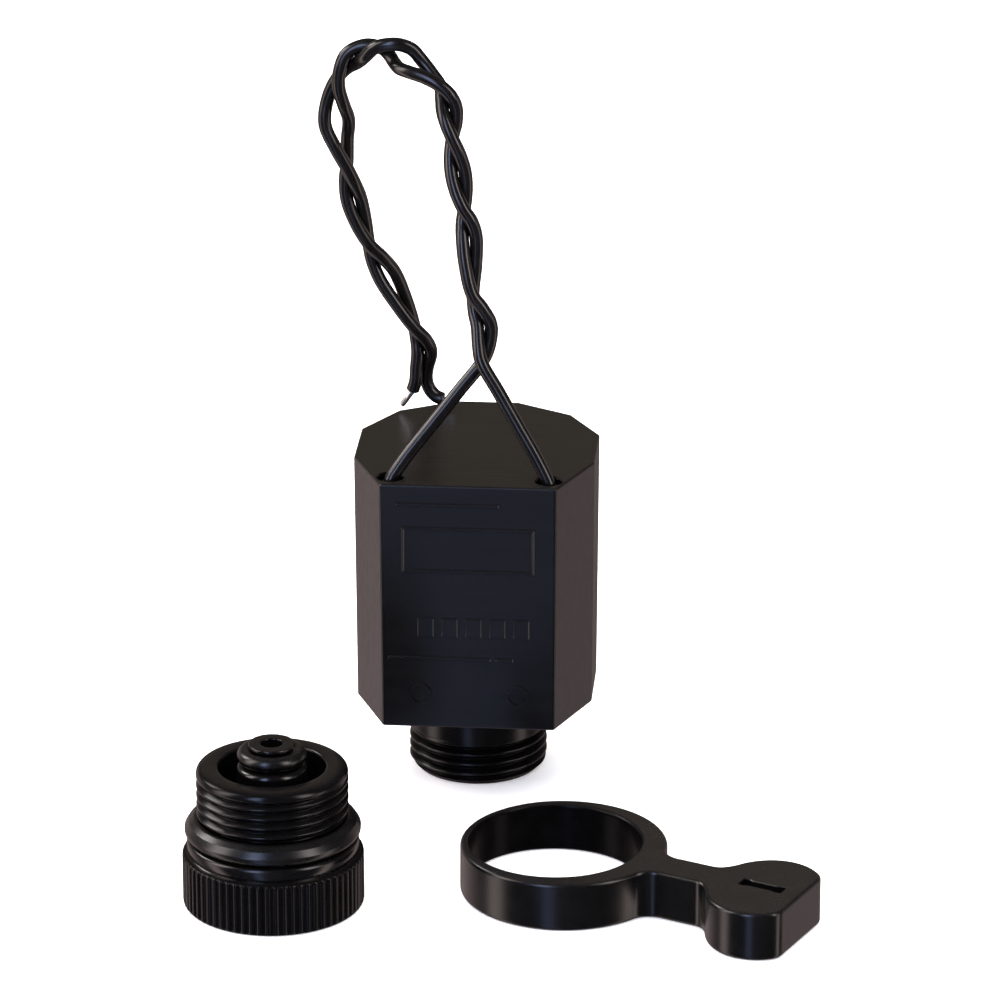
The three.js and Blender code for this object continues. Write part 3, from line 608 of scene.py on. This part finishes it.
# marks on the front flat: (left, right, bottom, top)
LINES = [(-10.2, 4.4, 46.35, 46.85), (-11.4, 3.2, 22.95, 23.45), (3.9, 6.4, 22.95, 23.45)]
FRAME_X, FRAME_Z, FRAME_BAR, FRAME_RELIEF = 9.4, (36.4, 43.2), 0.38, 0.28
PADS, PAD_LEFT, PAD_W, PAD_STEP, PAD_Z = 5, -7.2, 2.3, 3.4, (26.6, 29.4)
CIRCLES, CIRCLE_R, CIRCLE_W = ((-6.9, 17.6), (7.0, 17.6)), 1.25, 0.4
bottom, top = FRAME_Z
frame_bars = [(-FRAME_X, FRAME_X, bottom, bottom + FRAME_BAR), (-FRAME_X, FRAME_X, top - FRAME_BAR, top),
              (-FRAME_X, -FRAME_X + FRAME_BAR, bottom, top), (FRAME_X - FRAME_BAR, FRAME_X, bottom, top)]
pads = [(PAD_LEFT + PAD_STEP * k, PAD_LEFT + PAD_W + PAD_STEP * k, *PAD_Z) for k in range(PADS)]
bars = [relief("bar", *line, RELIEF) for line in LINES]
bars += [relief("bar", *bar, FRAME_RELIEF) for bar in frame_bars]
bars += [relief("bar", *pad, RELIEF) for pad in pads]
bars += [relief_ring("ring", x, z, CIRCLE_R, CIRCLE_W, RELIEF) for x, z in CIRCLES]
boolean(housing, bars, "UNION", FLAT)
cavity = soft_prism("cavity", housing_outline(WALL), HOUSING_Z[0] - 1, HOUSING_Z[1] - TOP_WALL, 0.3, 0.8)
holes = []
for x in (-EXIT_X, EXIT_X):
    mouth = EXIT_R + EXIT_MOUTH
    hole = [(0, 45.6), (EXIT_R, 45.6), (EXIT_R, 49.2), (mouth, 50.2), (0, 50.2)]
    holes.append(revolve("hole", hole, 48, at=(x, EXIT_Y)))
piece(boolean(housing, [cavity, *holes], sharp=FLAT), "solenoid", "housing_plastic", "housing")

for side, x in (("left", -EXIT_X), ("right", EXIT_X)):
    collar = [(0, 46.1), (1.6, 46.1), (1.6, 47.9), (1.12, 48.9), (0, 48.9)]
    collar = revolve(f"lead_collar_{side}", rounded(collar, {1: 0.15, 2: 0.3, 3: 0.08}), 48, at=(x, EXIT_Y))
    piece(collar, "solenoid", "seal_rubber", f"lead_gland_{side}")

plate = soft_prism("potting_plate", housing_outline(WALL + 0.3), 12.9, 14.2, 0.15, 0.6)
clear = rod("clear", 10.3, 12, 15, 0.02, 128)
piece(boolean(plate, [clear], sharp=FLAT), "solenoid", "housing_plastic", "base_plate")

# ---------------------------------------------------------------- threaded neck and coil former
NECK_R = 10.0
NECK_PITCH = 1.5
NECK_DEPTH = 0.75
NECK_CREST = 0.14
NECK_SKIN = 8.85  # the thread is cut only outside this radius
NECK_PLAIN = 6.7  # height where the thread runs out
NECK_START = 1.1
THREAD_ROWS = 0.06  # height between the rows of a threaded face


def neck_shape(angle, r, z):
    """The neck's radius, with its thread cut in."""
    if r < NECK_SKIN or z > NECK_PLAIN:
        return r
    cut = thread_depth(angle, z, NECK_PITCH, -0.4, NECK_PLAIN, crest=NECK_CREST)
    return min(r, NECK_R - NECK_DEPTH * cut)


outside = [(NECK_R - NECK_START + z, z) for z in rows(0, NECK_START, THREAD_ROWS)][:-1]
outside += [(NECK_R, z) for z in rows(NECK_START, NECK_PLAIN, THREAD_ROWS)]
former = outside + [(NECK_R, 16.2), (12.6, 16.2), (12.6, 17.6), (6.7, 17.6), (6.7, 41.3), (12.6, 41.3)]
former += [(12.6, 42.9), (5.6, 42.9), (5.6, 11.4), (7.6, 11.4), (7.6, 0.5), (8.1, 0)]
neck = revolve("neck_and_coil_former", former, 240, neck_shape, sharp=SCREW)
PINS = (("left", -7.0), ("right", 7.0))
PIN_Y = -9.2
pin_holes = [rod("hole", 0.9, 41.9, 44, 0.02, 32, at=(x, PIN_Y)) for _, x in PINS]
piece(boolean(neck, pin_holes, sharp=SCREW), "solenoid", "former_plastic", "coil_former")

# ---------------------------------------------------------------- coil and magnetic circuit
COIL_Z = (17.9, 41.0)
COIL_R = (7.0, 11.8)
WIRE = 0.35
WIRE_RELIEF = 0.1
TAPE_R = (12.1, 12.4)
TAPE_STEP = 6.0
TAPE_LAP = 0.08


def turn_radius(z):
    """The winding's outside, one bulge for each turn of wire."""
    return COIL_R[1] - WIRE_RELIEF * (1 - abs(math.sin(math.pi * (z - COIL_Z[0]) / WIRE)))


def tape_shape(angle, r, z):
    """The tape's radius, with its laps."""
    return r if r < 12.2 else r - TAPE_LAP * ((z / TAPE_STEP - angle / TAU) % 1)


turns = [(turn_radius(z), z) for z in rows(*COIL_Z, WIRE / 6)]
winding = revolve("coil_winding", [(COIL_R[0], COIL_Z[0]), *turns, (COIL_R[0], COIL_Z[1])], 96)
piece(winding, "solenoid", "copper", "coil_winding")
lapped = [(TAPE_R[1], z) for z in rows(*COIL_Z, 0.25)]
tape = revolve("coil_tape", [(TAPE_R[0], COIL_Z[0]), *lapped, (TAPE_R[0], COIL_Z[1])], 96, tape_shape)
piece(tape, "solenoid", "coil_tape", "coil_tape")
for side, x in PINS:
    pin = rounded([(0, 42.2), (0.6, 42.2), (0.6, 46.0), (0.3, 46.4), (0, 46.4)], 0.08)
    name = f"terminal_pin_{side}"
    piece(revolve(name, pin, 48, at=(x, PIN_Y)), "solenoid", "tinned_brass", name)
core = [(0, 26.8), (2.2, 26.8), (2.2, 28.4), (3.5, 28.4), (3.5, 26.8), (4.0, 26.8), (4.2, 27.0), (4.2, 42.9),
        (3.0, 42.9), (3.0, 45.6), (2.7, 45.9), (0, 45.9)]
piece(revolve("fixed_core", core), "solenoid", "stainless_steel", "fixed_core")
piece(sleeve("shading_ring", 2.5, 3.2, 26.8, 28.1, 0.06), "solenoid", "copper", "shading_ring")
piece(sleeve("core_washer", 3.3, 5.2, 44.9, 45.7, 0.12), "solenoid", "plated_steel", "core_washer")
guide = rounded([(4.55, 10.2), (7.2, 10.2), (7.2, 10.9), (5.2, 10.9), (5.2, 37.0), (4.55, 37.0)],
                {0: 0.25, 1: 0.15, 2: 0.15, 3: 0.3, 4: 0.1, 5: 0.1})
piece(revolve("guide_tube", guide, 128), "solenoid", "stainless_steel", "guide_tube")
for name in ("yoke_bracket", "yoke_plate"):
    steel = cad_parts[name]
    steel.data.materials.clear()
    steel.data.materials.append(LOOKS["plated_steel"])
    ease = steel.modifiers.new("eased edges", "BEVEL")
    ease.width = 0.15 * MM
    ease.segments = 2
    ease.limit_method = "ANGLE"
    ease.angle_limit = math.radians(50)

# ---------------------------------------------------------------- plunger group
plunger = [(0, 4.3), (3.2, 4.3), (3.2, 2.0), (3.9, 2.0), (4.2, 2.3), (4.2, 2.6), (6.4, 2.6), (6.4, 3.7),
           (4.2, 3.7), (4.2, 23.8), (3.7, 24.3), (0, 24.3)]
plunger = rounded(plunger, {3: 0.1, 6: 0.15, 7: 0.15, 8: 0.25, 10: 0.2})
piece(revolve("plunger", plunger, 128), "plunger", "stainless_steel", "plunger")
piece(rod("plunger_seal", 2.9, 1.5, 4.0, 0.2, 96), "plunger", "seal_rubber", "plunger_seal")
retainer = sleeve("plunger_retainer", 4.6, 7.3, 1.1, 2.3, 0.15, 128)
piece(retainer, "solenoid", "former_plastic", "plunger_retainer")
SPRING_R, SPRING_WIRE, SPRING_Z, SPRING_TURNS = 5.6, 0.35, (4.4, 9.5), 3.5
SPRING_STEPS = 240
coil = []
for k in range(SPRING_STEPS + 1):
    a = TAU * SPRING_TURNS * k / SPRING_STEPS
    z = SPRING_Z[0] + (SPRING_Z[1] - SPRING_Z[0]) * k / SPRING_STEPS
    coil.append((SPRING_R * math.cos(a), SPRING_R * math.sin(a), z))
spring = piece(tube("return_spring", coil, SPRING_WIRE, 16), "solenoid", "stainless_steel", "return_spring")
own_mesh(spring)

# ---------------------------------------------------------------- thread adapter
RIBS = 68
RIB_DEPTH = 0.34
GRIP_TOP = 7.45  # the ribs end here
ADAPTER_PITCH = 1.4
ADAPTER_DEPTH = 0.6
ADAPTER_CREST = 0.13
ADAPTER_TURN = 0.75  # height that the thread's start is moved up by
ADAPTER_THREAD = (11.5, 18.4)  # where it starts and ends, before that move
SCREW_R = 10.5
SCREW_Z = (12.95, 19.2)
SOCKET_R = 9.3
SOCKET_DEPTH = 0.62
SOCKET_TOP = 8.5
PORTS, PORT_R, PORTS_AT = 4, 0.9, 6.1


def adapter_shape(angle, r, z):
    """The adapter's radius, with its grip's ribs and its two threads cut in."""
    if r > 12.3 and z < GRIP_TOP:
        dip = max(0, math.cos(angle * RIBS)) ** 0.7
        fade = min(1, max(0, (z - 0.1) / 0.4)) * min(1, max(0, (GRIP_TOP - z) / 0.3))
        return r - RIB_DEPTH * dip * fade
    if r > 9.9 and 12.8 < z < SCREW_Z[1]:
        cut = thread_depth(angle, z - ADAPTER_TURN, ADAPTER_PITCH, *ADAPTER_THREAD, crest=ADAPTER_CREST)
        return min(r, SCREW_R - ADAPTER_DEPTH * cut)
    if abs(r - SOCKET_R) < 0.05 and 0.9 < z < SOCKET_TOP:
        ridge = 1 - thread_depth(angle, z, NECK_PITCH, 0, 9)
        return r + SOCKET_DEPTH * ridge * min(1, (SOCKET_TOP - z) / 0.8)
    return r


grip = [(12.1, 0), (12.35, 0.1), (12.5, 0.25), (12.55, 0.5), (12.55, 3.7), (12.55, 7.0), (12.55, 7.2),
        (12.5, 7.4), (12.3, 7.5), (12.05, 7.52)]
upper = [(11.95, 7.52), (11.7, 7.75), (11.9, 8.05), (11.9, 9.2), (11.82, 9.45), (11.6, 9.65), (11.4, 9.7)]
groove = [(9.9, 9.7), (9.9, 12.85), (10.0, 12.9)]
screw = [(SCREW_R, z) for z in rows(*SCREW_Z, THREAD_ROWS)]
rim = [(10.46, 19.4), (10.38, 19.6), (10.24, 19.8), (10.05, 19.96), (9.8, 20.08), (9.5, 20.16), (9.1, 20.2),
       (7.8, 20.2), (7.6, 20.14), (7.46, 20.0), (7.4, 19.8)]
well = [(7.4, 17.0), (7.4, 13.6), (4.9, 13.6), (4.9, 20.4), (2.5, 20.6)]
well = rounded(well, {1: 0.4, 2: 0.5, 3: 0.9}, 6)
nozzle = rounded([(2.5, 20.65), (2.5, 22.9), (3.2, 23.05), (3.2, 23.5), (1.5, 23.5), (1.5, 20)],
                 {0: 0.02, 2: 0.1, 3: 0.3, 4: 0.25}, 5)[1:-1]
bore = [(1.5, 22.8), (1.5, 12.9), (2.5, 12.9), (2.5, 9.2), (SOCKET_R, 9.2)]
inner = [(SOCKET_R, z) for z in rows(9.0, 0.9, 0.09)] + [(9.7, 0.5), (10.1, 0)]
profile = grip + upper + groove + screw + rim + well + nozzle + bore + inner
adapter = revolve("thread_adapter", profile, RIBS * 6, adapter_shape, at=ADAPTER_AT, sharp=SCREW)
ports = []
for k in range(PORTS):
    a = TAU * (k + 0.5) / PORTS
    where = (ADAPTER_AT[0] + PORTS_AT * math.cos(a), ADAPTER_AT[1] + PORTS_AT * math.sin(a))
    ports.append(rod("port", PORT_R, 8, 14.5, 0.02, 32, at=where))
piece(boolean(adapter, ports, sharp=SCREW), "adapter", "adapter_plastic", "adapter_body")
seal = [(10.2, 10.0), (11.5, 10.0), (12.15, 10.6), (12.2, 11.3), (11.6, 12.2), (10.8, 12.8), (10.2, 12.8)]
flange_oring = revolve("flange_oring", rounded(seal, 0.6, 6), 192, at=ADAPTER_AT)
piece(flange_oring, "adapter", "seal_rubber", "adapter_flange_oring")
nozzle_oring = torus("nozzle_oring", 3.75, 1.05, 21.75, 96, 32, at=ADAPTER_AT)
piece(nozzle_oring, "adapter", "seal_rubber", "adapter_nozzle_oring")
gasket = sleeve("socket_gasket", 7.6, 9.0, 7.9, 8.9, 0.2, 128, at=ADAPTER_AT)
piece(gasket, "adapter", "seal_rubber", "adapter_gasket")
seat = rounded([(0.8, 8.5), (1.2, 8.5), (2.2, 9.0), (2.2, 12.6), (0.8, 12.6)], {1: 0.15, 2: 0.15, 3: 0.15})
piece(revolve("valve_seat", seat, 96, at=ADAPTER_AT), "adapter", "stainless_steel", "adapter_seat")

# ---------------------------------------------------------------- bleed lever
LEVER_H = 7.0
LEVER_EDGE = 0.55
RING_R, HOLE_R = 14.4, 12.0
HANDLE_HALF, FILLET = 2.9, 3.0
PADDLE_X, PADDLE_RX, PADDLE_RY = 31.0, 7.8, 9.4  # the paddle's ellipse
PADDLE_FLAT, PADDLE_FLAT_HALF = 36.5, 5.6  # the flat across its end
PADDLE_MEET = 0.52  # share of the ellipse's half width where the handle runs into it
PADDLE_CORNER = 0.7  # how far before the flat its corners start
FLARE_AT = 1.06  # about where the handle widens, in half lengths of the ellipse before its centre
MARK_DEPTH = 1.0


def sweep(cx, cy, rx, ry, a0, a1, count):
    """Points of an ellipse's arc, its last one left out."""
    turn = [a0 + (a1 - a0) * k / count for k in range(count)]
    return [(cx + rx * math.cos(a), cy + ry * math.sin(a)) for a in turn]


def bend(a, b, c, count=10):
    """Points of a quadratic curve, its last one left out."""
    out = []
    for k in range(count):
        t = k / count
        out.append(tuple((1 - t) ** 2 * p + 2 * t * (1 - t) * q + t * t * r for p, q, r in zip(a, b, c)))
    return out


def lever_outline():
    """The lever's outline in its own frame, anticlockwise from its ring's lower fillet."""
    fy = HANDLE_HALF + FILLET
    fx = math.sqrt((RING_R + FILLET) ** 2 - fy**2)
    a = math.atan2(fy, fx)
    meet = math.asin(PADDLE_MEET)
    corner = math.acos((PADDLE_FLAT - PADDLE_CORNER - PADDLE_X) / PADDLE_RX)
    mx, my = PADDLE_X - PADDLE_RX * math.cos(meet), PADDLE_RY * math.sin(meet)
    cx, cy = PADDLE_X + PADDLE_RX * math.cos(corner), PADDLE_RY * math.sin(corner)
    flare = PADDLE_X - PADDLE_RX * FLARE_AT
    lower = sweep(fx, -fy, FILLET, FILLET, math.pi - a, math.pi / 2, 24)
    lower += [(fx + (flare - 1 - fx) * k / 4, -HANDLE_HALF) for k in range(4)]
    lower += bend((flare - 1, -HANDLE_HALF), (flare + 0.4, -HANDLE_HALF), (mx, -my), 24)
    lower += sweep(PADDLE_X, 0, PADDLE_RX, PADDLE_RY, math.pi + meet, TAU - corner, 64)
    lower += bend((cx, -cy), (PADDLE_FLAT, -cy + 0.8), (PADDLE_FLAT, -PADDLE_FLAT_HALF), 20)
    half = lower + [(PADDLE_FLAT, -PADDLE_FLAT_HALF * (1 - k / 4)) for k in range(4)]
    upper_half = [(x, -y) for x, y in reversed(half[1:])]
    ring = sweep(0, 0, RING_R, RING_R, a, TAU - a, 150)
    return half + [(PADDLE_FLAT, 0)] + upper_half + ring


def offset(points, distance):
    """A closed outline moved inwards by a distance."""
    out = []
    for i, p in enumerate(points):
        a, b = Vector(points[i - 1]), Vector(points[(i + 1) % len(points)])
        e = (b - a).normalized()
        out.append((p[0] - e.y * distance, p[1] + e.x * distance))
    return out


def slab(name, outer, hole, pocket, z0, z1, edge, depth):
    """A plate with rounded edges, one hole through it and one shallow pocket in its top."""
    verts, faces, loops = [], [], {}

    def ring(points, z):
        start = len(verts)
        verts.extend((x, y, z) for x, y in points)
        return list(range(start, start + len(points)))

    def wall(low, high):
        faces.extend([low[k - 1], low[k], high[k], high[k - 1]] for k in range(len(low)))

    for key, points, sign in (("outer", outer, 1), ("hole", hole, -1)):
        stack = [ring(offset(points, sign * inset), z) for z, inset in eased(z0, z1, edge)]
        for low, high in zip(stack, stack[1:]):
            wall(low, high)
        loops[key] = stack
    mouth, waist, floor = ring(offset(pocket, -0.1), z1), ring(pocket, z1 - 0.12), ring(pocket, z1 - depth)
    wall(mouth, waist)
    wall(waist, floor)
    faces.append(floor)
    for tops in ([loops["outer"][0], loops["hole"][0]], [loops["outer"][-1], loops["hole"][-1], mouth]):
        flat = [k for loop in tops for k in loop]
        for tri in tessellate_polygon([[Vector(verts[k]) for k in loop] for loop in tops]):
            faces.append([flat[k] for k in tri])
    return make_object(name, verts, faces, FLAT)


def placed(points):
    """Points of the lever's own frame in the shared one."""
    c, s = math.cos(LEVER_ANGLE), math.sin(LEVER_ANGLE)
    return [(LEVER_AT[0] + x * c - y * s, LEVER_AT[1] + x * s + y * c) for x, y in points]


mark_edge = [(27.4, -1.05), (28.2, -1.05), (28.8, -0.8), (32.4, -0.8), (33.0, -1.05), (33.8, -1.05)]
mark = placed(mark_edge + [(x, -y) for x, y in reversed(mark_edge)])
hole = placed(sweep(HOLE_SHIFT, 0, HOLE_R, HOLE_R, 0, TAU, 160))
lever = slab("bleed_lever", placed(lever_outline()), hole, mark, 0, LEVER_H, LEVER_EDGE, MARK_DEPTH)
piece(lever, "lever", "lever_plastic", "bleed_lever")

# ---------------------------------------------------------------- floor, world and lights
FLOOR_Z = (-10, -0.02)
FLOOR_CORNERS = ((-4000, -3000), (4000, -3000), (4000, 5000), (-4000, 5000))
FLOOR_DARK, FLOOR_LIGHT, FLOOR_GLOW = (0.9, 0.9, 0.9), (0.93, 0.93, 0.93), 0.25
floor = loft("floor", [[(x, y, z) for x, y in FLOOR_CORNERS] for z in FLOOR_Z])
floor.visible_glossy = False
paper = bpy.data.materials.new("paper")
paper.use_nodes = True
fibres = ranged(paper.node_tree, noise(paper.node_tree, 0.02, 4), 0, 1)
sheet = paper.node_tree.nodes["Principled BSDF"]
shade = mixed(paper.node_tree, fibres, FLOOR_DARK, FLOOR_LIGHT)
paper.node_tree.links.new(shade, sheet.inputs["Base Color"])
sheet.inputs["Roughness"].default_value = 0.9
sheet.inputs["Specular IOR Level"].default_value = 0.0
sheet.inputs["Emission Color"].default_value = (1, 1, 1, 1)
sheet.inputs["Emission Strength"].default_value = FLOOR_GLOW
floor.data.materials.append(paper)

world = bpy.data.worlds.new("studio")
bpy.context.scene.world = world
world.use_nodes = True
sky = world.node_tree
direction = add(sky, "ShaderNodeSeparateXYZ", {0: add(sky, "ShaderNodeTexCoord").outputs["Generated"]})
azimuth = maths(sky, "ARCTAN2", direction.outputs[0], maths(sky, "MULTIPLY", direction.outputs[1], -1.0))
round_about = ranged(sky, azimuth, 0, 1, -math.pi, math.pi)


def ramp(stops):
    """A colour ramp over the azimuth. stops are (degrees from the front towards +X, colour)."""
    node = add(sky, "ShaderNodeValToRGB", {"Fac": round_about})
    elements = node.color_ramp.elements
    elements[0].color = (*stops[0][1], 1)
    elements[1].color = (*stops[-1][1], 1)
    for degrees, colour in stops[1:-1]:
        elements.new((degrees + 180) / 360).color = (*colour, 1)
    return node.outputs["Color"]


BACK = (0.056, 0.047, 0.039)
SIDE = (0.235, 0.185, 0.185)
DIM_SIDE = (0.11, 0.09, 0.085)
LAMP = (0.95, 0.80, 0.75)
SHADE = (0.028, 0.027, 0.031)
FRONT = (0.052, 0.047, 0.051)
FILL = (0.32, 0.39, 0.66)
low = ramp([(-180, BACK), (-160, DIM_SIDE), (-147, SIDE), (-122, SIDE), (-104, DIM_SIDE), (-92, DIM_SIDE),
            (-84, LAMP), (-72, LAMP), (-64, SHADE), (-21, SHADE), (-16, FILL), (-11, FILL), (-6, FRONT),
            (14, FRONT), (24, SHADE), (70, SHADE), (77, LAMP), (86, LAMP), (94, SHADE), (118, DIM_SIDE),
            (130, SIDE), (148, SIDE), (162, DIM_SIDE), (180, BACK)])
WINDOW = (0.75, 0.68, 0.66)
SKY_FILL = (0.45, 0.55, 0.85)
DEEP = shaded(SHADE, 0.3)  # the upper ramp is shown brighter than the lower one
HIGH_BACK = shaded(BACK, 0.34)
high = ramp([(-180, HIGH_BACK), (-150, HIGH_BACK), (-130, DEEP), (-86, DEEP), (-80, WINDOW), (-64, WINDOW),
             (-57, DEEP), (-31, DEEP), (-26, SKY_FILL), (-14, SKY_FILL), (-9, DEEP), (46, DEEP),
             (53, WINDOW), (66, WINDOW), (73, DEEP), (130, DEEP), (155, HIGH_BACK), (180, HIGH_BACK)])
UPPER_FROM = 0.22  # the sine of the elevation where the upper ramp has taken over
OVERHEAD_FROM, OVERHEAD_FULL = 0.72, 0.86
LOW_STRENGTH, HIGH_STRENGTH = 2.4, 7.2
up = direction.outputs[2]
dome = mixed(sky, ranged(sky, up, 0, 1, 0.0, UPPER_FROM), low, high)
dome = mixed(sky, ranged(sky, up, 0, 1, OVERHEAD_FROM, OVERHEAD_FULL), dome, DEEP)
background = sky.nodes["Background"]
sky.links.new(dome, background.inputs["Color"])
sky.links.new(ranged(sky, up, LOW_STRENGTH, HIGH_STRENGTH, 0.0, UPPER_FROM), background.inputs["Strength"])


def area_light(name, location, aim, size, energy, colour, glossy=False):
    """A square soft light that faces a point, in metres."""
    data = bpy.data.lights.new(name, "AREA")
    data.size = size
    data.energy = energy
    data.color = colour
    light = bpy.data.objects.new(name, data)
    light.location = location
    light.rotation_euler = (Vector(aim) - Vector(location)).to_track_quat("-Z", "Y").to_euler()
    light.visible_glossy = glossy
    bpy.context.scene.collection.objects.link(light)


area_light("overhead", (0, 0.1, 1.6), (0, 0, 0), 3.2, 88, (1, 1, 1))
area_light("streak", (-0.95, 0.30, 0.71), (0, 0, 0.06), 0.45, 5.5, (1.0, 0.95, 0.92), True)
area_light("backdrop", (0, 2.2, 1.8), (0, 2.0, 0), 3.0, 60, (1, 1, 1))
bpy.context.scene.view_settings.view_transform = "Standard"
